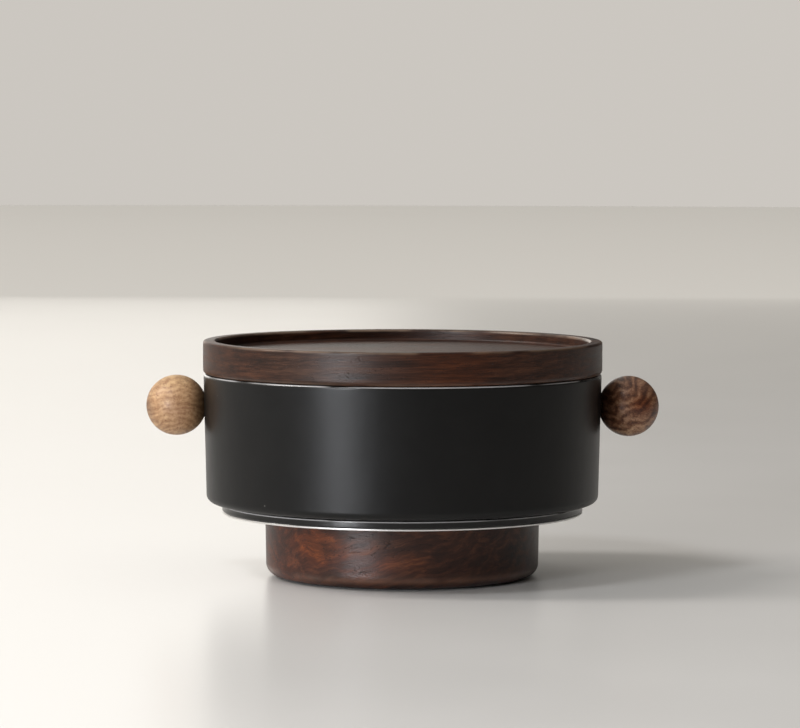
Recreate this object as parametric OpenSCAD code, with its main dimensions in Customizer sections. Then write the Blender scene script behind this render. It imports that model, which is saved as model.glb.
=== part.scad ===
// A lidded bowl for go stones: a black turned bowl on a wooden foot, with a
// wooden tray lid and two wooden ball handles.
// The origin is the middle of the underside. +Z is up and the handles lie along X.

/* [Overall] */
// Diameter of the lid, the widest turned piece
lid_d = 150; // [140:1:170]
// Height from the table to the top of the lid's rim
total_h = 88.8; // [84:0.2:110]

/* [Lid] */
// Height of the lid above the bowl's rim
lid_h = 12.4; // [11:0.1:16]
// Width of the raised rim round the tray
tray_rim_w = 5; // [4:0.1:8]
// Depth of the tray in the top of the lid
tray_depth = 4.2; // [3:0.1:4.5]
// Length of the spigot that drops into the bowl
spigot_h = 5; // [3:0.1:6.5]
// Clearance between the spigot and the bowl, all round
spigot_gap = 0.5; // [0.35:0.05:0.8]

/* [Bowl] */
// How far the lid stands out past the bowl's rim
lid_overhang = 0.2; // [0:0.1:1.5]
// How far the bowl's side leans in between its rim and its bottom corner
bowl_lean = 1.15; // [0.5:0.05:2.5]
// Thickness of the bowl's wall
wall_t = 6.6; // [6:0.1:7.5]
// Thickness of the floor inside the bowl, above the step underneath
floor_t = 3.4; // [2.5:0.1:6]
// Rounding of the outside bottom corner
corner_r = 2.8; // [2:0.1:4.9]
// Rounding of the corner inside the bowl
scoop_r = 12; // [8:0.5:16]

/* [Base] */
// How far the stepped base is set in from the bowl's bottom corner
base_inset = 5.85; // [5.7:0.05:10]
// Height of the stepped base
base_h = 3.3; // [2.5:0.1:5]
// Thickness of the bright trim ring
ring_t = 0.9; // [0.6:0.1:1.5]
// How far the foot is set in from the edge of the stepped base
foot_inset = 16.2; // [12:0.1:22]
// Height from the table to the underside of the trim ring
foot_h = 24; // [21:0.1:30]
// Rounding of the foot's bottom corner
foot_corner_r = 4.5; // [2:0.1:5]

/* [Handles] */
// Diameter of each ball handle
ball_d = 22.7; // [20:0.1:24]
// How far the middle of each handle is below the bowl's rim
handle_drop = 12.2; // [12:0.1:20]

/* [Hidden] */
$fn = 96;
tiny = 0.01;
arc_steps = 7;

// Heights above the table
seam_z = total_h - lid_h;
ring_top_z = foot_h + ring_t;
under_z = ring_top_z + base_h;
floor_z = under_z + floor_t;
tray_floor_z = total_h - tray_depth;
ball_z = seam_z - handle_drop;

// Radii of the bowl
lid_r = lid_d / 2;
bowl_r = lid_r - lid_overhang;
bowl_low_r = bowl_r - bowl_lean;
bore_r = bowl_r - wall_t;
base_r = bowl_low_r - base_inset;
rim_outer_round = 1;
rim_inner_round = 1.2;
base_round = 0.35;
base_bevel_h = 1;
base_bevel_in = 0.8;
base_bevel_round = 0.5;
base_cove_r = 0.3;

// Lid
lid_top_round = 0.9;
lid_bottom_round = 1.7;
tray_r = lid_r - tray_rim_w;
tray_edge_round = 1.1;
tray_cove_r = 1;
spigot_r = bore_r - spigot_gap;
spigot_w = 6;
spigot_round = 1;
lid_hollow_up = 2.4;
lid_hollow_cove_r = 4;
lid_hollow_r = spigot_r - spigot_w;

// Foot, its pad and its screws
foot_r = base_r - foot_inset;
foot_draft = 0.35;
foot_top_round = 0.4;
pad_stand = 0.6;
pad_groove = 0.8;
pad_outer_r = foot_r - 6.3;
pad_inner_r = pad_outer_r - 10;
pad_round = 0.3;
dish_r = pad_inner_r - 4;
dish_depth = 2.2;
dish_cove_r = 1.5;
ring_bore_r = foot_r - 11.3;
ring_bore_gap = 0.1;
ring_round = 0.3;
foot_screw_count = 4;
foot_screw_circle_r = dish_r - 10;
foot_screw_d = 4.2;
foot_screw_hole_gap = 0.15;
foot_screw_head_d = 8.2;
foot_screw_head_h = 2.4;
foot_screw_sink_z = 9;
foot_screw_tip_h = 2.5;
floor_left_over_screw = 1.8;
foot_screw_bite = base_h + floor_t - floor_left_over_screw;
foot_screw_pilot_extra = 0.4;

// Handles, drawn along +X and mirrored for the left one
ball_r = ball_d / 2;
ball_seat_cut = 0.3;
ball_seat_x = bowl_r - ball_seat_cut;
ball_seat_r = 4.9;
ball_flat_r = 4.2;
ball_seat_drop = sqrt(ball_r * ball_r - ball_flat_r * ball_flat_r);
ball_x = ball_seat_x + ball_seat_drop;
inside_seat_cut = 0.4;
inside_seat_x = bore_r + inside_seat_cut;
inside_seat_r = 5.2;
screw_r = 2;
screw_hole_r = 2.2;
screw_length = 14;
washer_t = 0.8;
washer_r = 4.5;
washer_bore_r = 2.15;
washer_round = 0.2;
screw_head_r = 3.9;
screw_head_h = 2.4;
screw_head_round = 1.4;
screw_end_round = 0.5;
screw_fit = 0.04;
insert_r = 3;
insert_length = 8;
insert_flange_r = 3.6;
insert_flange_h = 0.8;
insert_bore_extra = 1;
slot_w = 1.1;
slot_depth = 1.1;
cross_span = 4.4;

// --- Turned outlines -------------------------------------------------------

function unit(v) = v / norm(v);

// The arc that rounds corner b between a and c. A corner is [radius, height, rounding].
function corner_arc(a, b, c) =
  let (
    p = [b[0], b[1]],
    u = unit([a[0], a[1]] - p),
    v = unit([c[0], c[1]] - p),
    half = acos(u * v) / 2,
    reach = b[2] / tan(half),
    centre = p + unit(u + v) * b[2] / sin(half),
    from = p + u * reach - centre,
    to = p + v * reach - centre,
    start = atan2(from[1], from[0]),
    turn = atan2(from[0] * to[1] - from[1] * to[0], from * to)
  )
  [for (i = [0:arc_steps]) centre + b[2] * [cos(start + turn * i / arc_steps), sin(start + turn * i / arc_steps)]];

function outline(corners) =
  let (n = len(corners))
  [
    for (i = [0:n - 1])
      each corners[i][2] == 0
        ? [[corners[i][0], corners[i][1]]]
        : corner_arc(corners[(i + n - 1) % n], corners[i], corners[(i + 1) % n])
  ];

// A solid turned from corners that run round its section
module turned(corners) {
  rotate_extrude() polygon(outline(corners));
}

// A cylinder along +X, from x0
module rod_x(x0, length, r) {
  translate([x0, 0, ball_z]) rotate([0, 90, 0]) cylinder(r = r, h = length);
}

// --- Lid -------------------------------------------------------------------

module lid() {
  color("#3a211b")
    turned([
      [0, tray_floor_z, 0],
      [tray_r, tray_floor_z, tray_cove_r],
      [tray_r, total_h, tray_edge_round],
      [lid_r, total_h, lid_top_round],
      [lid_r, seam_z, lid_bottom_round],
      [spigot_r, seam_z, 0],
      [spigot_r, seam_z - spigot_h, spigot_round],
      [lid_hollow_r, seam_z - spigot_h, spigot_round],
      [lid_hollow_r, seam_z + lid_hollow_up, lid_hollow_cove_r],
      [0, seam_z + lid_hollow_up, 0]
    ]);
}

// --- Bowl ------------------------------------------------------------------

module bowl_body() {
  turned([
    [0, ring_top_z, 0],
    [base_r, ring_top_z, base_round],
    [base_r, under_z - base_bevel_h, base_bevel_round],
    [base_r - base_bevel_in, under_z, base_cove_r],
    [bowl_low_r, under_z, corner_r],
    [bowl_r, seam_z, rim_outer_round],
    [bore_r, seam_z, rim_inner_round],
    [bore_r, floor_z, scoop_r],
    [0, floor_z, 0]
  ]);
}

// The drilled hole, flat outside seat and flat inside seat for one handle
module handle_hole() {
  rod_x(bore_r - wall_t, 3 * wall_t, screw_hole_r);
  rod_x(ball_seat_x, wall_t, ball_seat_r);
  rod_x(bore_r - wall_t, inside_seat_x - bore_r + wall_t, inside_seat_r);
}

// Pilot holes that the foot's screws bite into
module foot_screw_pilots() {
  at_foot_screws()
    translate([0, 0, ring_top_z - tiny])
      cylinder(r = foot_screw_d / 2, h = foot_screw_bite + foot_screw_pilot_extra);
}

module bowl() {
  color("#1c1b1b")
    difference() {
      bowl_body();
      handle_hole();
      mirror([1, 0, 0]) handle_hole();
      foot_screw_pilots();
    }
}

// --- Foot ------------------------------------------------------------------

module at_foot_screws() {
  for (i = [0:foot_screw_count - 1])
    rotate(45 + i * 360 / foot_screw_count)
      translate([foot_screw_circle_r, 0, 0])
        children();
}

module foot_body() {
  turned([
    [0, pad_stand + dish_depth, 0],
    [dish_r, pad_stand + dish_depth, dish_cove_r],
    [dish_r, pad_stand, foot_top_round],
    [pad_inner_r, pad_stand, 0],
    [pad_inner_r, pad_stand + pad_groove, 0],
    [pad_outer_r, pad_stand + pad_groove, 0],
    [pad_outer_r, pad_stand, 0],
    [foot_r - foot_draft, pad_stand, foot_corner_r],
    [foot_r, foot_h, foot_top_round],
    [ring_bore_r - ring_bore_gap, foot_h, 0],
    [ring_bore_r - ring_bore_gap, ring_top_z, 0],
    [0, ring_top_z, 0]
  ]);
}

module foot() {
  color("#4a2a20")
    difference() {
      foot_body();
      at_foot_screws() {
        translate([0, 0, -tiny])
          cylinder(r = foot_screw_d / 2 + foot_screw_hole_gap, h = ring_top_z + 1);
        translate([0, 0, -tiny])
          cylinder(r = foot_screw_head_d / 2 + foot_screw_hole_gap, h = foot_screw_sink_z);
      }
    }
}

module trim_ring() {
  color("#d8d6d0")
    turned([
      [ring_bore_r, foot_h, 0],
      [base_r, foot_h, ring_round],
      [base_r, ring_top_z, ring_round],
      [ring_bore_r, ring_top_z, 0]
    ]);
}

module foot_pad() {
  color("#2e2e2c")
    turned([
      [pad_inner_r, 0, pad_round],
      [pad_outer_r, 0, pad_round],
      [pad_outer_r, pad_stand + pad_groove, 0],
      [pad_inner_r, pad_stand + pad_groove, 0]
    ]);
}

// A cross recess, cut downwards into a head from height z
module cross_recess(z) {
  for (turn = [0, 90])
    rotate(turn)
      translate([-cross_span / 2, -slot_w / 2, z])
        cube([cross_span, slot_w, slot_depth]);
}

module foot_screw() {
  top_z = ring_top_z + foot_screw_bite;
  head_z = foot_screw_sink_z - foot_screw_head_h;
  difference() {
    turned([
      [0, head_z, 0],
      [foot_screw_head_d / 2, head_z, screw_head_round],
      [foot_screw_head_d / 2, foot_screw_sink_z, 0],
      [foot_screw_d / 2, foot_screw_sink_z, 0],
      [foot_screw_d / 2, top_z - foot_screw_tip_h, 0],
      [0, top_z, 0]
    ]);
    cross_recess(head_z - tiny);
  }
}

module foot_screws() {
  color("#b9a36a") at_foot_screws() foot_screw();
}

// --- Handles ---------------------------------------------------------------

// Half the section of a ball: a round, cut off flat at its seat and bored for the insert
module ball_section() {
  reach = 2 * ball_r;
  difference() {
    circle(r = ball_r);
    translate([-reach, -reach]) square([reach, 2 * reach]);
    translate([-tiny, -reach - ball_seat_drop]) square([reach, reach]);
    translate([-tiny, -ball_seat_drop - 1]) square([insert_r + tiny, insert_length + insert_bore_extra + 1]);
    translate([-tiny, -ball_seat_drop - 1]) square([insert_flange_r + tiny, insert_flange_h + 1]);
  }
}

// The wooden ball of one handle
module ball(shade) {
  color(shade)
    translate([ball_x, 0, ball_z])
      rotate([0, 90, 0])
        rotate_extrude() ball_section();
}

module insert() {
  color("#b8923f")
    difference() {
      union() {
        rod_x(ball_seat_x, insert_length, insert_r);
        rod_x(ball_seat_x, insert_flange_h, insert_flange_r);
      }
      rod_x(ball_seat_x - 1, insert_length + 2, screw_r + screw_fit);
    }
}

module screw() {
  color("#c9c7c2")
    translate([inside_seat_x - washer_t, 0, ball_z])
      rotate([0, 90, 0])
        difference() {
          turned([
            [0, -screw_head_h, 0],
            [screw_head_r, -screw_head_h, screw_head_round],
            [screw_head_r, 0, 0],
            [screw_r, 0, 0],
            [screw_r, screw_length, screw_end_round],
            [0, screw_length, 0]
          ]);
          cross_recess(-screw_head_h - tiny);
        }
}

module washer() {
  color("#c9c7c2")
    translate([inside_seat_x - washer_t, 0, ball_z])
      rotate([0, 90, 0])
        turned([
          [washer_bore_r, 0, 0],
          [washer_r, 0, washer_round],
          [washer_r, washer_t, washer_round],
          [washer_bore_r, washer_t, 0]
        ]);
}

module handle_ball_left() { mirror([1, 0, 0]) ball("#c9a077"); }
module handle_ball_right() { ball("#6b4129"); }
module handle_insert_left() { mirror([1, 0, 0]) insert(); }
module handle_insert_right() { insert(); }
module handle_screw_left() { mirror([1, 0, 0]) screw(); }
module handle_screw_right() { screw(); }
module handle_washer_left() { mirror([1, 0, 0]) washer(); }
module handle_washer_right() { washer(); }

bowl();
lid();
foot();
trim_ring();
foot_pad();
foot_screws();
handle_ball_left();
handle_ball_right();
handle_insert_left();
handle_insert_right();
handle_screw_left();
handle_screw_right();
handle_washer_left();
handle_washer_right();
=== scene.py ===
import math

import bmesh
import bpy
from mathutils import Matrix, Quaternion, Vector, noise


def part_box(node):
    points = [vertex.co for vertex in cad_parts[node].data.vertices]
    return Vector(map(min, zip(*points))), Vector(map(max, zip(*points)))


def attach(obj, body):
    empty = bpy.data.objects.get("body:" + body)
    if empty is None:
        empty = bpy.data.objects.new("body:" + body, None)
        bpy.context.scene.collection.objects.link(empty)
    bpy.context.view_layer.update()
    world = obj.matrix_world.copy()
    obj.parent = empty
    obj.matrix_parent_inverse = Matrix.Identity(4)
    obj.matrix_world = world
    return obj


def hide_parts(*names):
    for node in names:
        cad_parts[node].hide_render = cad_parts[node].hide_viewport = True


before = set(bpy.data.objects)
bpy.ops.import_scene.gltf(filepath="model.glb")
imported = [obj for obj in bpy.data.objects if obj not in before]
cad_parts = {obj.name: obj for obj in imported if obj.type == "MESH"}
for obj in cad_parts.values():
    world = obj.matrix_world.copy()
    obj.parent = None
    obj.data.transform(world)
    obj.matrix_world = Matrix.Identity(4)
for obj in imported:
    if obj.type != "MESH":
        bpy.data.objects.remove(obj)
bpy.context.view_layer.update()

MM = 0.001
BODY = "bowl_body"
LID_BODY = "lid_body"

# --- Sizes, in millimetres, from the frame or as in the CAD --------------------------------


def span(node):
    """The lowest and highest corners of a CAD node, in millimetres."""
    low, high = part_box(node)
    return low / MM, high / MM


LID_LOW, LID_HIGH = span("lid")
BOWL_HIGH = span("bowl")[1]
FOOT_LOW, FOOT_HIGH = span("foot")
RING_LOW, RING_HIGH = span("trim_ring")
PAD_LOW, PAD_HIGH = span("foot_pad")
BALL_LOW, BALL_HIGH = span("handle_ball_right")
WASHER_HIGH = span("handle_washer_right")[1]
SCREW_HIGH = span("foot_screws")[1]

TOP_Z = LID_HIGH.z
SEAM_Z = BOWL_HIGH.z
RING_TOP_Z = RING_HIGH.z
RING_BOTTOM_Z = RING_LOW.z
BALL_Z = (BALL_LOW.z + BALL_HIGH.z) / 2
BALL_R = (BALL_HIGH.z - BALL_LOW.z) / 2
BALL_X = BALL_HIGH.x - BALL_R

LID_R = LID_HIGH.x
LID_OVERHANG = 0.2
BOWL_R = LID_R - LID_OVERHANG
BOWL_LEAN = 1.15
BOWL_LOW_R = BOWL_R - BOWL_LEAN
WALL = 6.6
BORE_R = BOWL_R - WALL
BASE_R = RING_HIGH.x
FOOT_R = FOOT_HIGH.x
BASE_H = 3.3
FLOOR_T = 3.4
UNDER_Z = RING_TOP_Z + BASE_H
FLOOR_Z = UNDER_Z + FLOOR_T
CORNER_ROUND = 2.8
BEVEL_H = 1.0
BEVEL_IN = 0.8
BEVEL_ROUND = 0.5
BASE_ROUND = 0.35
BASE_COVE_ROUND = 0.3
RIM_OUTER_ROUND = 1
RIM_INNER_ROUND = 1.2
SCOOP_ROUND = 12
BOWL_SWAY = 0.035

TRAY_RIM_W = 5
TRAY_DEPTH = 4.2
TRAY_R = LID_R - TRAY_RIM_W
TRAY_Z = TOP_Z - TRAY_DEPTH
TRAY_COVE_ROUND = 1
TRAY_EDGE_ROUND = 1.1
LID_TOP_ROUND = 0.9
LID_BOTTOM_ROUND = 1.7
SPIGOT_GAP = 0.5
SPIGOT_W = 6
SPIGOT_ROUND = 1
SPIGOT_R = BORE_R - SPIGOT_GAP
SPIGOT_Z = LID_LOW.z
LID_HOLLOW_UP = 2.4
LID_HOLLOW_ROUND = 4
LID_HOLLOW_R = SPIGOT_R - SPIGOT_W
LID_HOLLOW_Z = SEAM_Z + LID_HOLLOW_UP

PAD_INSET = 6.3
PAD_W = 10
PAD_OUT_R = FOOT_R - PAD_INSET
PAD_IN_R = PAD_OUT_R - PAD_W
PAD_TOP_Z = PAD_HIGH.z
PAD_GAP = 0.05
PAD_ROUND = 0.3
PAD_TOP_ROUND = 0.1
PAD_STEP = 0.8
FOOT_Z = FOOT_LOW.z
DISH_INSET = 4
DISH_DEPTH = 2.2
DISH_ROUND = 1.5
DISH_R = PAD_IN_R - DISH_INSET
DISH_Z = FOOT_Z + DISH_DEPTH
FOOT_DRAFT = 0.35
FOOT_ROUND = 4.5
FOOT_TOP_ROUND = 0.4
FOOT_WEAR_UP = 3

RING_SEAT_W = 11.3
RING_BORE_R = FOOT_R - RING_SEAT_W
RING_GAP = 0.1
RING_ROUND = 0.42
RING_BORE_ROUND = 0.1

FOOT_SCREW_INSET = 10
FOOT_SCREW_CIRCLE_R = DISH_R - FOOT_SCREW_INSET
FOOT_SCREW_COUNT = 4
FIRST_SCREW_TURN = 45
SCREW_HOLE_R = 2.25
COUNTERBORE_R = 4.25
COUNTERBORE_TOP_Z = 9
PILOT_R = 2.1
PILOT_EXTRA = 0.4
PILOT_TOP_Z = SCREW_HIGH.z + PILOT_EXTRA
CUT_PAST = 1

SEAT_X = BALL_LOW.x
SEAT_R = 4.9
INSIDE_SEAT_X = WASHER_HIGH.x
INSIDE_SEAT_R = 5.2
HANDLE_HOLE_R = 2.2
BORE_DEPTH = 9
INSERT_R = 3
FLANGE_R = 3.6
FLANGE_H = 0.8
SEAT_EASE = 0.05
BALL_SWAY = 0.03

# How finely the pieces are meshed. SUPPORT is how far from a corner a straight stretch has its first point.
ROUND_STEP = math.radians(9)
CREASE = math.radians(32)
FEWEST_ROUND_STEPS = 4
SEGMENTS = 256
BALL_SEGMENTS = 128
BALL_STEPS = 72
CUTTER_SEGMENTS = 64
SPAN_STEP = 2.0
BALL_SPAN_STEP = 3
CUTTER_SPAN_STEP = 50
SUPPORT = 0.25
SHORT_STRETCH = 2.5 * SUPPORT
AXIS_R = 1e-6

# How far apart the crests of the slow waviness are, across and up.
SWAY_ACROSS = 16
SWAY_UP = 24

# --- Mesh making --------------------------------------------------------------------------


def corner_arc(before, corner, after):
    """The points of the arc that rounds one corner of a turned outline."""
    here = Vector(corner[:2])
    to_before = (Vector(before[:2]) - here).normalized()
    to_after = (Vector(after[:2]) - here).normalized()
    half = to_before.angle(to_after) / 2
    reach = corner[2] / math.tan(half)
    centre = here + (to_before + to_after).normalized() * corner[2] / math.sin(half)
    start = here + to_before * reach - centre
    end = here + to_after * reach - centre
    turn = math.atan2(start.x * end.y - start.y * end.x, start.dot(end))
    steps = max(FEWEST_ROUND_STEPS, math.ceil(abs(turn) / ROUND_STEP))
    first = math.atan2(start.y, start.x)
    angles = [first + turn * i / steps for i in range(steps + 1)]
    return [centre + corner[2] * Vector((math.cos(angle), math.sin(angle))) for angle in angles]


def turned_outline(corners, step=SPAN_STEP, closed=False):
    """Points of an outline with rounded corners, closely spaced along its straight stretches."""
    count = len(corners)
    stretches = []
    for i, corner in enumerate(corners):
        if corner[2]:
            stretches.append(corner_arc(corners[i - 1], corner, corners[(i + 1) % count]))
        else:
            stretches.append([Vector(corner[:2])])
    points = []
    for i, stretch in enumerate(stretches):
        points += stretch
        if i == count - 1 and not closed:
            break
        a, b = stretch[-1], stretches[(i + 1) % count][0]
        length = (b - a).length
        if length < SHORT_STRETCH:
            continue
        pieces = max(1, math.ceil((length - 2 * SUPPORT) / step))
        for k in range(pieces + 1):
            along = SUPPORT + (length - 2 * SUPPORT) * k / pieces
            points.append(a + (b - a) * along / length)
    return points


def object_of(name, mesh):
    piece = bpy.data.objects.new(name, mesh)
    bpy.context.scene.collection.objects.link(piece)
    return piece


def smooth(piece):
    """Smooth shading, with a crease wherever the surface turns sharply."""
    mesh = piece.data
    for face in mesh.polygons:
        face.use_smooth = True
    mesh.set_sharp_from_angle(angle=CREASE)


def turned(name, corners, segments=SEGMENTS, step=SPAN_STEP, closed=False, sway=0.0, seed=0.0):
    """A solid turned about Z, from corners that are each a radius, a height and a rounding.

    closed joins the outline's last point to its first. sway is a slight waviness, in millimetres.
    """
    outline = turned_outline(corners, step, closed)
    made = bmesh.new()
    rings = []
    for point in outline:
        if point.x < AXIS_R:
            rings.append([made.verts.new((0, 0, point.y * MM))])
            continue
        ring = []
        for i in range(segments):
            turn = 2 * math.pi * i / segments
            spot = Vector((point.x * math.cos(turn), point.x * math.sin(turn), point.y))
            if sway:
                spot += Vector((spot.x, spot.y, 0)).normalized() * sway * sway_at(spot, seed)
            ring.append(made.verts.new(spot * MM))
        rings.append(ring)
    pairs = list(zip(rings, rings[1:]))
    if closed:
        pairs.append((rings[-1], rings[0]))
    for low, high in pairs:
        for i in range(segments):
            k = (i + 1) % segments
            if len(low) == 1:
                made.faces.new((low[0], high[k], high[i]))
            elif len(high) == 1:
                made.faces.new((low[i], low[k], high[0]))
            else:
                made.faces.new((low[i], low[k], high[k], high[i]))
    bmesh.ops.recalc_face_normals(made, faces=made.faces)
    mesh = bpy.data.meshes.new(name)
    made.to_mesh(mesh)
    made.free()
    piece = object_of(name, mesh)
    smooth(piece)
    return piece


def sway_at(spot, seed):
    """A slow waviness of hand-finished surfaces, between -1 and 1."""
    return noise.noise(Vector((spot.x / SWAY_ACROSS + seed, spot.y / SWAY_ACROSS, spot.z / SWAY_UP)))


def cut(piece, cutters):
    """Cuts the cutters out of the piece and throws them away."""
    for cutter in cutters:
        tool = piece.modifiers.new("cut", "BOOLEAN")
        tool.operation = "DIFFERENCE"
        tool.solver = "EXACT"
        tool.object = cutter
    graph = bpy.context.evaluated_depsgraph_get()
    result = bpy.data.meshes.new_from_object(piece.evaluated_get(graph))
    piece.modifiers.clear()
    piece.data = result
    for cutter in cutters:
        bpy.data.objects.remove(cutter)
    smooth(piece)


def cylinder_cutter(radius, start, end, axis="Z", at=(0, 0, 0)):
    """A round cutter between two heights along an axis, through the point at, in millimetres."""
    corners = [(0, start, 0), (radius, start, 0), (radius, end, 0), (0, end, 0)]
    tool = turned("cutter", corners, segments=CUTTER_SEGMENTS, step=CUTTER_SPAN_STEP)
    turn = Matrix.Rotation(math.radians(90), 4, "Y") if axis == "X" else Matrix.Identity(4)
    tool.data.transform(Matrix.Translation(Vector(at) * MM) @ turn)
    return tool


def place(piece, matrix):
    """Moves a piece's mesh, so that its object stays at the origin."""
    piece.data.transform(matrix)
    if matrix.determinant() < 0:
        piece.data.flip_normals()
    piece.data.update()
    return piece


def finish_piece(piece, material, body, slot, *nodes):
    """Gives a piece its material and its body, and hides the CAD nodes that it stands for."""
    piece.data.materials.clear()
    piece.data.materials.append(material)
    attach(piece, body)
    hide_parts(*nodes)
    return piece


# --- Materials ----------------------------------------------------------------------------


def add_node(tree, kind, inputs=None, **settings):
    """Adds a shader node. Each input is another node's output or a plain value."""
    made = tree.nodes.new("ShaderNode" + kind)
    for key, value in settings.items():
        setattr(made, key, value)
    for key, value in (inputs or {}).items():
        if isinstance(value, bpy.types.NodeSocket):
            tree.links.new(value, made.inputs[key])
        else:
            made.inputs[key].default_value = value
    return made


class Shader:
    """A node material, with a short name for each kind of node that the materials use."""

    def __init__(self, name):
        self.material = bpy.data.materials.new(name)
        self.material.use_nodes = True
        self.tree = self.material.node_tree
        self.tree.nodes.clear()

    def add(self, kind, inputs=None, **settings):
        return add_node(self.tree, kind, inputs, **settings)

    def math(self, operation, *values):
        return self.add("Math", dict(enumerate(values)), operation=operation).outputs[0]

    def vector(self, operation, *values, output="Vector"):
        return self.add("VectorMath", dict(enumerate(values)), operation=operation).outputs[output]

    def place(self, scale, turn=(0, 0, 0), shift=(0, 0, 0)):
        """The object's own coordinates in millimetres, shifted, turned and stretched."""
        own = self.add("TexCoord").outputs["Object"]
        away = [-s for s in shift]
        metric = self.add("Mapping", {"Vector": own, "Scale": (1 / MM,) * 3, "Location": away}).outputs[0]
        angles = [math.radians(t) for t in turn]
        return self.add("Mapping", {"Vector": metric, "Rotation": angles, "Scale": scale}).outputs[0]

    def stretch(self, vector, scale):
        return self.vector("MULTIPLY", vector, scale)

    def noise(self, vector, scale, detail=3.0, roughness=0.5, distortion=0.0, output="Fac"):
        inputs = {"Vector": vector, "Scale": scale, "Detail": detail, "Roughness": roughness}
        inputs["Distortion"] = distortion
        return self.add("TexNoise", inputs).outputs[output]

    def cells(self, vector, scale):
        return self.add("TexVoronoi", {"Vector": vector, "Scale": scale}).outputs["Distance"]

    def ramp(self, value, start, end):
        """A smooth step from 0 at start to 1 at end, which may be the lower of the two."""
        inputs = {"Value": value, "From Min": start, "From Max": end}
        return self.add("MapRange", inputs, interpolation_type="SMOOTHSTEP").outputs[0]

    def colours(self, value, stops):
        made = self.add("ValToRGB", {"Fac": value})
        elements = made.color_ramp.elements
        while len(elements) < len(stops):
            elements.new(0.5)
        for element, (at, colour) in zip(elements, stops):
            element.position = at
            element.color = (*colour, 1)
        return made.outputs["Color"]

    def mix(self, factor, a, b, blend="MIX"):
        made = self.add("Mix", data_type="RGBA", blend_type=blend)
        for index, value in ((0, factor), (6, a), (7, b)):
            if isinstance(value, bpy.types.NodeSocket):
                self.tree.links.new(value, made.inputs[index])
            else:
                made.inputs[index].default_value = value if index == 0 else (*value, 1)
        return made.outputs[2]

    def bump(self, height, distance, strength=1.0, normal=None):
        inputs = {"Height": height, "Distance": distance * MM, "Strength": strength}
        if normal is not None:
            inputs["Normal"] = normal
        return self.add("Bump", inputs).outputs[0]

    def surface(self, **inputs):
        """The surface shader, which ends the material. Underscores stand for spaces."""
        names = {key.replace("_", " "): value for key, value in inputs.items()}
        shader = self.add("BsdfPrincipled", names)
        out = self.add("OutputMaterial")
        self.tree.links.new(shader.outputs[0], out.inputs["Surface"])
        return self.material


# A patch's edge: how much the noise moves it, where it starts and where it is full.
PATCH_RAGGED = 1.1
PATCH_EDGE = (1.55, 0.65)

# Where the three tones of a wood lie along its figure.
TONE_STOPS = (0.37, 0.50, 0.64)


def patch(s, centre, size, edge_noise):
    """A soft-edged patch, 1 in its middle, at a place and of a size in millimetres. Patches give figure,
    painted light and painted shade.
    """
    spot = s.place([1 / width for width in size], shift=centre)
    far = s.vector("LENGTH", spot, output="Value")
    return s.ramp(s.math("ADD", far, s.math("MULTIPLY", edge_noise, PATCH_RAGGED)), *PATCH_EDGE)


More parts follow.
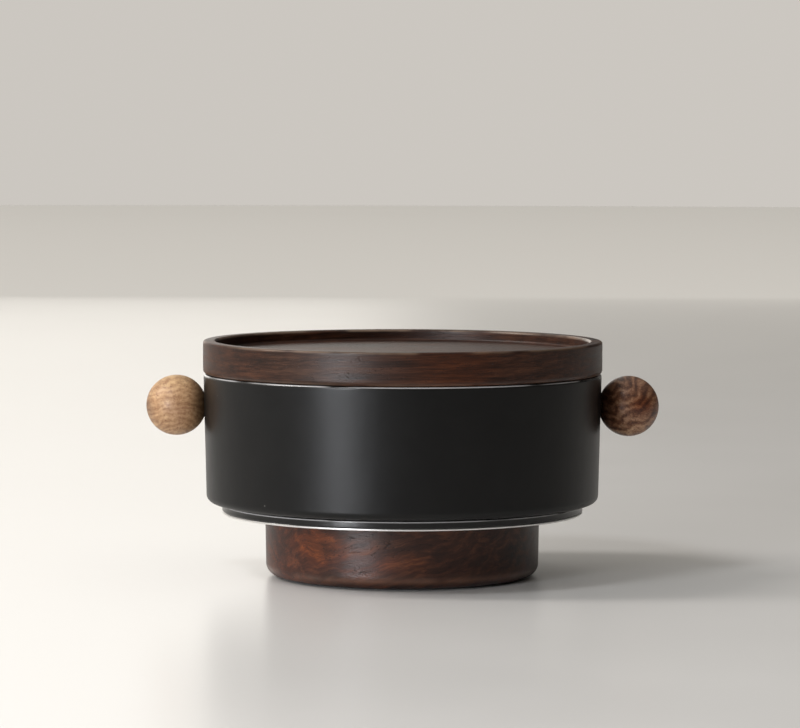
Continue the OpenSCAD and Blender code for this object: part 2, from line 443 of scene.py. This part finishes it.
def wood(name, look):
    """Oiled, waxed wood: streaks, growth bands, pores, patches of figure and patches of painted light and
    painted shade, cut from one solid block.
    """
    s = Shader(name)
    block = s.place((1, 1, 1), look["turn"], look["shift"])
    bend = s.vector("SUBTRACT", s.noise(block, look["bend_scale"], 2, output="Color"), (0.5,) * 3)
    curl = s.vector("SUBTRACT", s.noise(block, look["curl_scale"], 3, output="Color"), (0.5,) * 3)
    grain = s.vector("ADD", block, s.stretch(bend, (look["bend"],) * 3))
    grain = s.vector("ADD", grain, s.stretch(curl, (look["curl"],) * 3))

    streak = s.noise(s.stretch(grain, (look["along"], look["flat"], 1)), look["streak"], 5, 0.62)
    fibre = s.noise(s.stretch(grain, (2 * look["along"], look["flat"], 1)), look["fibre"], 4, 0.62)
    cloud = s.noise(s.stretch(grain, (0.35, 1, 1)), look["cloud"], 3, 0.5)
    across = s.vector("LENGTH", s.stretch(grain, (0, 1, 1)), output="Value")
    uneven = s.noise(s.stretch(grain, (0.02, 0.2, 0.2)), 1, 2)
    turns = s.math("ADD", s.math("DIVIDE", across, look["ring"]), s.math("MULTIPLY", uneven, 2.5))
    band = s.math("SINE", s.math("MULTIPLY", turns, 2 * math.pi))

    tone = s.math("MULTIPLY", streak, look["streaks"])
    tone = s.math("ADD", tone, s.math("MULTIPLY", fibre, look["fibres"]))
    tone = s.math("ADD", tone, s.math("MULTIPLY", cloud, 1 - look["streaks"] - look["fibres"]))
    tone = s.math("ADD", tone, s.math("MULTIPLY", band, look["bands"]))
    colour = s.colours(tone, list(zip(TONE_STOPS, look["tones"])))
    # The patches: figure, painted light and painted shade.
    for centre, size, shade in look["patches"]:
        colour = s.mix(patch(s, centre, size, cloud), colour, s.mix(1.0, colour, shade, "MULTIPLY"))

    pore_cells = s.cells(s.stretch(grain, (0.16, 1, 1)), look["pore_scale"])
    pore_where = s.ramp(s.noise(s.stretch(grain, (0.3, 1, 1)), 0.3, 2), 0.45, 0.62)
    pores = s.math("MULTIPLY", s.ramp(pore_cells, 0.30, 0.12), pore_where)
    fleck_cells = s.cells(s.stretch(grain, (0.55, 1, 1)), look["fleck_scale"])
    fleck_where = s.ramp(s.noise(block, 0.14, 3), 0.48, 0.62)
    flecks = s.math("MULTIPLY", s.ramp(fleck_cells, 0.30, 0.10), fleck_where)
    colour = s.mix(s.math("MULTIPLY", pores, look["pores"]), colour, look["pore_colour"])
    colour = s.mix(s.math("MULTIPLY", flecks, look["flecks"]), colour, look["pore_colour"])
    edge_wear_and_highlight = s.add("Attribute", attribute_name="edge").outputs["Fac"]
    edge_wear_and_highlight = s.math("MULTIPLY", edge_wear_and_highlight, s.ramp(s.noise(block, 0.045, 3), 0.36, 0.58))
    # Near the edges the colour lightens: wear, and on the lid's rim a painted highlight.
    colour = s.mix(s.math("MULTIPLY", edge_wear_and_highlight, 0.55), colour, look["edge_wear_and_highlight_colour"])

    gloss = s.math("ADD", s.math("MULTIPLY", streak, 0.20), look["roughness"] - 0.10)
    gloss = s.math("ADD", gloss, s.math("MULTIPLY", pores, 0.18))
    gloss = s.math("SUBTRACT", gloss, s.math("MULTIPLY", edge_wear_and_highlight, 0.08))
    height = s.math("SUBTRACT", s.math("MULTIPLY", fibre, 0.5), pores)
    height = s.math("SUBTRACT", height, s.math("MULTIPLY", flecks, 0.6))
    relief = s.bump(height, 0.09, 0.9)
    waves = s.bump(streak, 0.06, 0.5, relief)
    polish = s.math("ADD", s.math("MULTIPLY", edge_wear_and_highlight, 0.6), look["coat"])
    return s.surface(
        Base_Color=colour, Roughness=gloss, Normal=waves, Specular_IOR_Level=look["specular"],
        Coat_Weight=polish, Coat_Roughness=0.22,
    )


# Each wood: its dark, middle and light tones, and then how its figure lies. A patch is its middle and its
# size in millimetres, and what it multiplies the colour by; some patches are painted light and some painted
# shade.
LID_TONES = ((0.0085, 0.0034, 0.0020), (0.033, 0.0110, 0.0052), (0.078, 0.0290, 0.0135))
FOOT_TONES = ((0.0120, 0.0040, 0.0024), (0.030, 0.0095, 0.0050), (0.074, 0.0245, 0.0105))
PALE_TONES = ((0.27, 0.132, 0.064), (0.44, 0.252, 0.128), (0.60, 0.385, 0.210))
BROWN_TONES = ((0.060, 0.019, 0.008), (0.180, 0.072, 0.034), (0.36, 0.195, 0.110))
DARK_PORE = (0.008, 0.003, 0.002)
LID_WOOD = {
    "turn": (0, 1.5, 2), "shift": (12, -60, 110), "bend_scale": 0.012, "bend": 6.0,
    "curl_scale": 0.10, "curl": 0.3, "along": 0.02, "flat": 0.10, "ring": 7.0, "bands": 0.02,
    "streak": 0.75, "streaks": 0.46, "fibre": 3.4, "fibres": 0.34, "cloud": 0.05,
    # The lid's edge colour is the pale cream of a painted highlight along its rim, as well as wear.
    "tones": LID_TONES, "edge_wear_and_highlight_colour": (0.40, 0.27, 0.18), "pore_colour": DARK_PORE,
    "pore_scale": 2.4, "pores": 0.80, "fleck_scale": 0.8, "flecks": 0.15,
    # Patches: an orange-brown spot of figure on the right, and the lit left front made lighter and greyer,
    # partly figure and partly painted light.
    "patches": [
        ((19, -75, 82), (22, 30, 22), (1.30, 1.05, 0.75)),
        ((-30, -66, 82), (34, 40, 22), (1.0, 1.2, 1.35)),
    ],
    "roughness": 0.42, "specular": 0.28, "coat": 0.02,
}
FOOT_WOOD = {
    "turn": (6, 14, 10), "shift": (-60, 30, -40), "bend_scale": 0.035, "bend": 15.0,
    "curl_scale": 0.17, "curl": 2.6, "along": 0.045, "flat": 0.35, "ring": 6.0, "bands": 0.04,
    "streak": 0.48, "streaks": 0.44, "fibre": 2.6, "fibres": 0.30, "cloud": 0.10,
    "tones": FOOT_TONES, "edge_wear_and_highlight_colour": (0.16, 0.07, 0.04), "pore_colour": DARK_PORE,
    "pore_scale": 1.5, "pores": 0.90, "fleck_scale": 0.80, "flecks": 0.90,
    # These patches paint light on the lit left and front of the foot, with the orange-brown figure of the
    # left front among them.
    "patches": [
        ((-44, -26, 12), (28, 34, 30), (2.0, 1.7, 1.6)), ((-31, -41, 16), (15, 22, 9), (2.8, 2.2, 1.0)),
        ((2, -51, 10), (13, 22, 6), (2.0, 1.8, 1.4)), ((-14, -50, 9), (17, 24, 13), (2.3, 2.1, 2.1)),
    ],
    "roughness": 0.40, "specular": 0.34, "coat": 0.03,
}
PALE_WOOD = {
    "turn": (0, 4, 84), "shift": (-85, 0, 48), "bend_scale": 0.08, "bend": 3.0,
    "curl_scale": 0.42, "curl": 1.5, "along": 0.14, "flat": 0.8, "ring": 2.1, "bands": 0.05,
    "streak": 0.9, "streaks": 0.38, "fibre": 2.4, "fibres": 0.30, "cloud": 0.16,
    "tones": PALE_TONES, "edge_wear_and_highlight_colour": PALE_TONES[2], "pore_colour": (0.15, 0.062, 0.026),
    "pore_scale": 1.5, "pores": 0.70, "fleck_scale": 0.95, "flecks": 0.85,
    # Patches: the top lighter, partly paler wood and partly painted light from above; the left edge darker,
    # painted shade; a darker spot of figure in front; and a dark band beside the seat, painted shade where
    # the ball meets the bowl.
    "patches": [
        ((-86, -6, 75.5), (12, 14, 8), (1.20, 1.30, 1.30)), ((-96, -4, 63), (5, 12, 12), (0.66, 0.66, 0.70)),
        ((-84, -11, 63), (8, 6, 6), (0.80, 0.74, 0.74)), ((-76, -2, 64), (5.5, 14, 14), (0.50, 0.50, 0.46)),
    ],
    "roughness": 0.45, "specular": 0.42, "coat": 0.05,
}
BROWN_WOOD = {
    "turn": (0, -6, 97), "shift": (80, 0, 76), "bend_scale": 0.06, "bend": 2.6,
    "curl_scale": 0.3, "curl": 0.6, "along": 0.10, "flat": 0.6, "ring": 3.6, "bands": 0.08,
    "streak": 0.9, "streaks": 0.40, "fibre": 2.8, "fibres": 0.34, "cloud": 0.14,
    "tones": BROWN_TONES, "edge_wear_and_highlight_colour": BROWN_TONES[2], "pore_colour": (0.025, 0.010, 0.006),
    "pore_scale": 1.4, "pores": 0.85, "fleck_scale": 0.9, "flecks": 0.75,
    # Patches: a darker, redder spot and a lighter band low down, both figure; and a dark band beside the
    # seat, painted shade where the ball meets the bowl.
    "patches": [
        ((89, -10, 65), (7, 8, 5), (0.70, 0.48, 0.36)), ((86, -7, 55), (14, 12, 4.5), (1.6, 1.9, 2.0)),
        ((76, -2, 65), (7.5, 16, 14), (0.30, 0.28, 0.30)),
    ],
    "roughness": 0.43, "specular": 0.40, "coat": 0.05,
}


LACQUER_DARK = (0.0028, 0.0028, 0.0029)
LACQUER_LIGHT = (0.0060, 0.0058, 0.0056)
LACQUER_WORN = (0.030, 0.028, 0.026)
# Light grey on the rim and base bevel edges: wear through the lacquer, and partly a painted highlight.
LACQUER_BARE_AND_HIGHLIGHT = (0.60, 0.59, 0.59)
DUST = (0.35, 0.33, 0.31)


def black_lacquer():
    """Satin black lacquer, polished down by hand, with a few specks of dust. Its rim and the edge of its
    base's bevel turn light grey: wear through the lacquer, and partly a painted highlight.
    """
    s = Shader("black_lacquer")
    block = s.place((1, 1, 1))
    mottle = s.noise(block, 0.09, 3, 0.55)
    peel = s.noise(block, 1.1, 3, 0.55)
    brushed = s.noise(s.stretch(block, (1, 1, 0.06)), 1.6, 3)
    speck_where = s.ramp(s.noise(block, 0.07, 1), 0.52, 0.6)
    specks = s.math("MULTIPLY", s.ramp(s.cells(block, 0.11), 0.045, 0.02), speck_where)
    edge_wear_and_highlight = s.add("Attribute", attribute_name="edge").outputs["Fac"]
    # Light grey along the sharpest edges: wear through to a bare edge, and partly a painted highlight.
    bare_edge_and_highlight = s.math("MULTIPLY", s.ramp(edge_wear_and_highlight, 0.42, 0.60), s.ramp(s.noise(block, 0.035, 2), 0.36, 0.50))
    base = s.mix(mottle, LACQUER_DARK, LACQUER_LIGHT)
    base = s.mix(s.math("MULTIPLY", specks, 0.25), base, DUST)
    base = s.mix(s.math("MULTIPLY", edge_wear_and_highlight, 0.20), base, LACQUER_WORN)
    base = s.mix(s.math("MULTIPLY", bare_edge_and_highlight, 0.75), base, LACQUER_BARE_AND_HIGHLIGHT)
    gloss = s.math("ADD", s.math("MULTIPLY", mottle, 0.06), 0.32)
    gloss = s.math("ADD", gloss, s.math("MULTIPLY", brushed, 0.05))
    gloss = s.math("SUBTRACT", gloss, s.math("MULTIPLY", edge_wear_and_highlight, 0.22))
    waves = s.bump(s.noise(block, 0.05, 2), 0.30, 0.5)
    skin = s.bump(peel, 0.012, 0.6, waves)
    polish = s.math("MULTIPLY", edge_wear_and_highlight, 0.9)
    return s.surface(
        Base_Color=base, Roughness=gloss, Normal=skin, Specular_IOR_Level=0.25,
        Coat_Weight=polish, Coat_Roughness=0.10,
    )


def metal(name, colour, roughness, grain=(1, 1, 1)):
    """Turned metal with faint tool marks."""
    s = Shader(name)
    block = s.place((1, 1, 1))
    marks = s.noise(s.stretch(block, grain), 3.0, 4, 0.6)
    smudge = s.noise(block, 0.12, 3)
    base = s.mix(smudge, [c * 0.92 for c in colour], colour)
    gloss = s.math("ADD", s.math("MULTIPLY", marks, 0.05), roughness)
    gloss = s.math("ADD", gloss, s.math("MULTIPLY", smudge, 0.05))
    relief = s.bump(marks, 0.004, 0.4)
    return s.surface(Base_Color=base, Metallic=1.0, Roughness=gloss, Normal=relief)


FELT_DARK = (0.008, 0.008, 0.008)
FELT_LIGHT = (0.050, 0.049, 0.047)


def felt():
    """Dense wool felt."""
    s = Shader("felt")
    block = s.place((1, 1, 1))
    fibres = s.noise(block, 2.2, 8, 0.7, distortion=1.5)
    clumps = s.noise(block, 0.4, 4, 0.6)
    base = s.mix(s.math("MULTIPLY", s.math("ADD", fibres, clumps), 0.5), FELT_DARK, FELT_LIGHT)
    relief = s.bump(fibres, 0.25, 0.9)
    return s.surface(Base_Color=base, Roughness=0.95, Normal=relief, Sheen_Weight=0.4, Sheen_Roughness=0.5)


# --- Pieces -------------------------------------------------------------------------------


def mark_edges(piece, corners, reach=1.1):
    """Stores how close each point is to a turned outer edge, for the wear that its material shows, and on the
    lid and bowl for the painted highlight along their edges.

    A corner is its radius and height, and its share of the full wear.
    """
    layer = piece.data.attributes.new("edge", "FLOAT", "POINT")
    for vertex, value in zip(piece.data.vertices, layer.data):
        spot = vertex.co / MM
        radius = math.hypot(spot.x, spot.y)
        wear = (share * (1 - math.hypot(radius - r, spot.z - z) / reach) for r, z, share in corners)
        value.value = max(0.0, *wear)


def make_lid(material):
    lid = turned(
        "lid_turned",
        [
            (0, TRAY_Z, 0),
            (TRAY_R, TRAY_Z, TRAY_COVE_ROUND),
            (TRAY_R, TOP_Z, TRAY_EDGE_ROUND),
            (LID_R, TOP_Z, LID_TOP_ROUND),
            (LID_R, SEAM_Z, LID_BOTTOM_ROUND),
            (SPIGOT_R, SEAM_Z, 0),
            (SPIGOT_R, SPIGOT_Z, SPIGOT_ROUND),
            (LID_HOLLOW_R, SPIGOT_Z, SPIGOT_ROUND),
            (LID_HOLLOW_R, LID_HOLLOW_Z, LID_HOLLOW_ROUND),
            (0, LID_HOLLOW_Z, 0),
        ],
    )
    # The lid's rim edges lighten here: wear, and a painted highlight.
    mark_edges(lid, [(TRAY_R, TOP_Z, 1), (LID_R, TOP_Z, 0.6), (LID_R, SEAM_Z, 0.6)])
    return finish_piece(lid, material, LID_BODY, "lid_wood", "lid")


def foot_screw_spots():
    """Where the screws that join the foot to the bowl stand."""
    for i in range(FOOT_SCREW_COUNT):
        turn = math.radians(FIRST_SCREW_TURN + 360 * i / FOOT_SCREW_COUNT)
        yield FOOT_SCREW_CIRCLE_R * math.cos(turn), FOOT_SCREW_CIRCLE_R * math.sin(turn)


def make_bowl(material):
    bowl = turned(
        "bowl_turned",
        [
            (0, RING_TOP_Z, 0),
            (BASE_R, RING_TOP_Z, BASE_ROUND),
            (BASE_R, UNDER_Z - BEVEL_H, BEVEL_ROUND),
            (BASE_R - BEVEL_IN, UNDER_Z, BASE_COVE_ROUND),
            (BOWL_LOW_R, UNDER_Z, CORNER_ROUND),
            (BOWL_R, SEAM_Z, RIM_OUTER_ROUND),
            (BORE_R, SEAM_Z, RIM_INNER_ROUND),
            (BORE_R, FLOOR_Z, SCOOP_ROUND),
            (0, FLOOR_Z, 0),
        ],
        sway=BOWL_SWAY, seed=3.0,
    )
    cutters = []
    inner, outer = BORE_R - WALL, BOWL_R + WALL
    for side in (-1, 1):
        for radius, start, end in (
            (INSIDE_SEAT_R, inner, INSIDE_SEAT_X),
            (HANDLE_HOLE_R, inner, outer),
            (SEAT_R, SEAT_X, outer),
        ):
            cutters.append(cylinder_cutter(radius, side * start, side * end, "X", (0, 0, BALL_Z)))
    for x, y in foot_screw_spots():
        cutters.append(cylinder_cutter(PILOT_R, RING_TOP_Z - CUT_PAST, PILOT_TOP_Z, at=(x, y, 0)))
    cut(bowl, cutters)
    # The rim and the base's bevel edge turn light grey here: wear, and a painted highlight.
    mark_edges(
        bowl,
        [
            (BASE_R, RING_TOP_Z, 0.4),
            (BASE_R, UNDER_Z - BEVEL_H, 0.62),
            (BOWL_R, SEAM_Z, 1),
            (BORE_R, SEAM_Z, 0.6),
        ],
    )
    return finish_piece(bowl, material, BODY, "black_lacquer", "bowl")


def make_foot(material):
    foot = turned(
        "foot_turned",
        [
            (0, DISH_Z, 0),
            (DISH_R, DISH_Z, DISH_ROUND),
            (DISH_R, FOOT_Z, FOOT_TOP_ROUND),
            (PAD_IN_R, FOOT_Z, 0),
            (PAD_IN_R, PAD_TOP_Z, 0),
            (PAD_OUT_R, PAD_TOP_Z, 0),
            (PAD_OUT_R, FOOT_Z, 0),
            (FOOT_R - FOOT_DRAFT, FOOT_Z, FOOT_ROUND),
            (FOOT_R, RING_BOTTOM_Z, FOOT_TOP_ROUND),
            (RING_BORE_R - RING_GAP, RING_BOTTOM_Z, 0),
            (RING_BORE_R - RING_GAP, RING_TOP_Z, 0),
            (0, RING_TOP_Z, 0),
        ],
    )
    cutters = []
    for x, y in foot_screw_spots():
        for radius, top in ((SCREW_HOLE_R, RING_TOP_Z + CUT_PAST), (COUNTERBORE_R, COUNTERBORE_TOP_Z)):
            cutters.append(cylinder_cutter(radius, FOOT_Z - CUT_PAST, top, at=(x, y, 0)))
    cut(foot, cutters)
    mark_edges(foot, [(FOOT_R, RING_BOTTOM_Z, 1), (FOOT_R - FOOT_DRAFT, FOOT_Z + FOOT_WEAR_UP, 1)], reach=2.0)
    return finish_piece(foot, material, BODY, "foot_wood", "foot")


def make_trim_ring(material):
    ring = turned(
        "trim_ring_polished",
        [
            (RING_BORE_R, RING_BOTTOM_Z, RING_BORE_ROUND),
            (BASE_R, RING_BOTTOM_Z, RING_ROUND),
            (BASE_R, RING_TOP_Z, RING_ROUND),
            (RING_BORE_R, RING_TOP_Z, RING_BORE_ROUND),
        ],
        closed=True,
    )
    return finish_piece(ring, material, BODY, "polished_steel", "trim_ring")


def make_pad(material):
    pad = turned(
        "felt_ring",
        [
            (PAD_IN_R + PAD_GAP, PAD_LOW.z, PAD_ROUND),
            (PAD_OUT_R - PAD_GAP, PAD_LOW.z, PAD_ROUND),
            (PAD_OUT_R - PAD_GAP, PAD_TOP_Z, PAD_TOP_ROUND),
            (PAD_IN_R + PAD_GAP, PAD_TOP_Z, PAD_TOP_ROUND),
        ],
        step=PAD_STEP, closed=True,
    )
    return finish_piece(pad, material, BODY, "felt", "foot_pad")


def make_ball(side, name, material, slot, node):
    """A turned ball with a flat seat and a blind hole, drawn on end and then laid along X."""
    drop = BALL_X - SEAT_X
    flat = math.sqrt(BALL_R**2 - drop**2)
    first = -math.acos(flat / BALL_R)
    outline = [
        (0, BORE_DEPTH - drop, 0),
        (INSERT_R, BORE_DEPTH - drop, 0),
        (INSERT_R, FLANGE_H - drop, 0),
        (FLANGE_R, FLANGE_H - drop, 0),
        (FLANGE_R, -drop, 0),
        (flat - SEAT_EASE, -drop, 0),
    ]
    for i in range(BALL_STEPS + 1):
        turn = first + (math.pi / 2 - first) * i / BALL_STEPS
        outline.append((max(0.0, BALL_R * math.cos(turn)), BALL_R * math.sin(turn), 0))
    ball = turned(name, outline, BALL_SEGMENTS, BALL_SPAN_STEP, sway=BALL_SWAY, seed=5.0 + side)
    lay = Matrix.Rotation(math.radians(90), 4, "Y")
    place(ball, Matrix.Translation((BALL_X * MM, 0, BALL_Z * MM)) @ lay)
    if side < 0:
        place(ball, Matrix.Scale(-1, 4, (1, 0, 0)))
    return finish_piece(ball, material, BODY, slot, node)


def dress(node, material):
    """Gives a CAD node that stays in view its own material."""
    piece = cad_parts[node]
    piece.data.materials.clear()
    piece.data.materials.append(material)


# --- Stage, lights and camera -------------------------------------------------------------

# Each glow of the room: its strength, and the ways that limit it, each with where it starts and is full.
ROOM_GLOWS = [
    (0.50, [((-0.90, 0.38, 0.22), 0.25, 0.90)]),
    (1.40, [((0, 1, 0), 0.82, 0.98), ((-1, 0, 0), -0.022, 0.020)]),
    (0.05, [((0, 1, 0), 0.45, 0.90), ((1, 0, 0), -0.020, 0.022)]),
    (0.62, [((0, 0, 1), 0.35, 1.00)]),
]
ROOM_DARK = 0.02
ROOM_COLOUR = (1.0, 0.96, 0.89)
# What the camera sees behind the floor, which lights nothing.
SEEN_ROOM = (0.60, 0.57, 0.53)

# The floor's colours near the bowl, far behind it and well in front of it, and the depths in millimetres
# where it starts to change and where it has changed. The dark colour in front is painted shade, which darkens
# what the bowl reflects.
FLOOR_NEAR = ((0.725, 0.715, 0.700), (0.765, 0.755, 0.740))
FLOOR_FAR = (0.80, 0.79, 0.765)
FLOOR_FRONT = (0.30, 0.29, 0.28)
FAR_DEPTHS = (150, 2200)
FRONT_DEPTHS = (-380, -900)
FLOOR_SHINE = 0.5
FLOOR_REACH = 6000
COUNTER_T = 1
FLOOR_SEGMENTS = 96

# Each soft box: its name, azimuth, height, distance, size, power and colour. Lengths are in metres.
SOFT_BOXES = [
    ("window_low", -35.5, 0.27, 1.7, (0.46, 0.52), 17, (0.93, 0.955, 1.0)),
    ("window_high", -40, 1.50, 1.2, (0.34, 0.34), 8, (0.95, 0.97, 1.0)),
    ("key", -89, 9.4, 10.4, (2.6, 8.0), 830, (1.0, 0.955, 0.92)),
]
LIGHTS_AIM = Vector((0, 0, 0.05))

CAMERA_LENS = 167.4
CAMERA_SENSOR = 36
CAMERA_NEAR = 0.05
CAMERA_PLACE = (0, -1.396, 0.1718)
CAMERA_AIM = Vector((-0.0010, 0, 0.0798))
# In degrees. The photograph's foot and handles lean opposite ways, and this lies between them.
CAMERA_ROLL = 0.15


def make_floor():
    """A pale counter. It is painted darker well in front of the bowl, a painted shade, and loses its shine
    far behind it.
    """
    s = Shader("pale_counter")
    block = s.place((1, 1, 1))
    cloud = s.noise(block, 0.01, 3)
    near = s.mix(cloud, *FLOOR_NEAR)
    depth = s.add("SeparateXYZ", {"Vector": block}).outputs["Y"]
    behind = s.ramp(depth, *FAR_DEPTHS)
    # Painted shade: darker well in front of the bowl.
    base = s.mix(s.ramp(depth, *FRONT_DEPTHS), near, FLOOR_FRONT)
    base = s.mix(behind, base, FLOOR_FAR)
    gloss = s.math("ADD", s.math("MULTIPLY", cloud, 0.04), 0.27)
    shine = s.math("SUBTRACT", FLOOR_SHINE, s.math("MULTIPLY", behind, FLOOR_SHINE))
    material = s.surface(Base_Color=base, Roughness=gloss, Specular_IOR_Level=shine)
    under = -COUNTER_T
    corners = [(0, under, 0), (FLOOR_REACH, under, 0), (FLOOR_REACH, 0, 0), (0, 0, 0)]
    floor = turned("floor", corners, segments=FLOOR_SEGMENTS, step=FLOOR_REACH)
    floor.data.materials.append(material)


def make_world():
    """A pale room: light on the left and behind, darker towards the front and right."""
    world = bpy.data.worlds.new("room")
    bpy.context.scene.world = world
    world.use_nodes = True
    tree = world.node_tree
    tree.nodes.clear()

    way = add_node(tree, "TexCoord").outputs["Generated"]
    total = ROOM_DARK
    for strength, limits in ROOM_GLOWS:
        glow = strength
        for toward, dark, bright in limits:
            facing = add_node(tree, "VectorMath", {0: way, 1: toward}, operation="DOT_PRODUCT")
            inputs = {"Value": facing.outputs["Value"], "From Min": dark, "From Max": bright}
            reach = add_node(tree, "MapRange", inputs, interpolation_type="SMOOTHSTEP").outputs[0]
            glow = add_node(tree, "Math", {0: reach, 1: glow}, operation="MULTIPLY").outputs[0]
        total = add_node(tree, "Math", {0: glow, 1: total}, operation="ADD").outputs[0]
    shade = add_node(tree, "Background", {"Color": (*ROOM_COLOUR, 1), "Strength": total}).outputs[0]
    seen = add_node(tree, "Background", {"Color": (*SEEN_ROOM, 1), "Strength": 1.0}).outputs[0]
    path = add_node(tree, "LightPath").outputs["Is Camera Ray"]
    both = add_node(tree, "MixShader", {0: path, 1: shade, 2: seen}).outputs[0]
    add_node(tree, "OutputWorld", {"Surface": both})


def soft_light(name, azimuth, height, away, size, power, colour):
    """A soft box that faces the bowl. Azimuth 0 is in front of it and 90 on its right."""
    data = bpy.data.lights.new(name, "AREA")
    data.shape = "RECTANGLE"
    data.size, data.size_y = size
    data.energy = power
    data.color = colour
    lamp = bpy.data.objects.new(name, data)
    bpy.context.scene.collection.objects.link(lamp)
    turn = math.radians(azimuth)
    lamp.location = (away * math.sin(turn), -away * math.cos(turn), height)
    aim = LIGHTS_AIM - lamp.location
    lamp.rotation_euler = aim.to_track_quat("-Z", "Y").to_euler()


def make_camera():
    """The camera stands in front of the bowl and a little above it."""
    data = bpy.data.cameras.new("camera")
    data.lens = CAMERA_LENS
    data.sensor_width = CAMERA_SENSOR
    data.clip_start = CAMERA_NEAR
    camera = bpy.data.objects.new("camera", data)
    bpy.context.scene.collection.objects.link(camera)
    camera.location = CAMERA_PLACE
    aim = CAMERA_AIM - camera.location
    roll = Quaternion((0, 0, 1), math.radians(CAMERA_ROLL))
    camera.rotation_euler = (aim.to_track_quat("-Z", "Y") @ roll).to_euler()
    bpy.context.scene.camera = camera


make_camera()
make_world()
make_floor()
for soft_box in SOFT_BOXES:
    soft_light(*soft_box)

STEEL = metal("polished_steel", (0.93, 0.92, 0.90), 0.32, (0.05, 0.05, 4))
SCREW_STEEL = metal("screw_steel", (0.62, 0.61, 0.60), 0.26)
BRASS = metal("brass", (0.70, 0.50, 0.20), 0.26)

make_lid(wood("lid_wood", LID_WOOD))
make_bowl(black_lacquer())
make_foot(wood("foot_wood", FOOT_WOOD))
make_trim_ring(STEEL)
make_pad(felt())
make_ball(-1, "ball_left", wood("light_wood", PALE_WOOD), "light_wood", "handle_ball_left")
make_ball(1, "ball_right", wood("brown_wood", BROWN_WOOD), "brown_wood", "handle_ball_right")
for side in ("left", "right"):
    dress("handle_insert_" + side, BRASS)
    dress("handle_screw_" + side, SCREW_STEEL)
    dress("handle_washer_" + side, SCREW_STEEL)
dress("foot_screws", BRASS)

bpy.context.scene.view_settings.view_transform = "Standard"
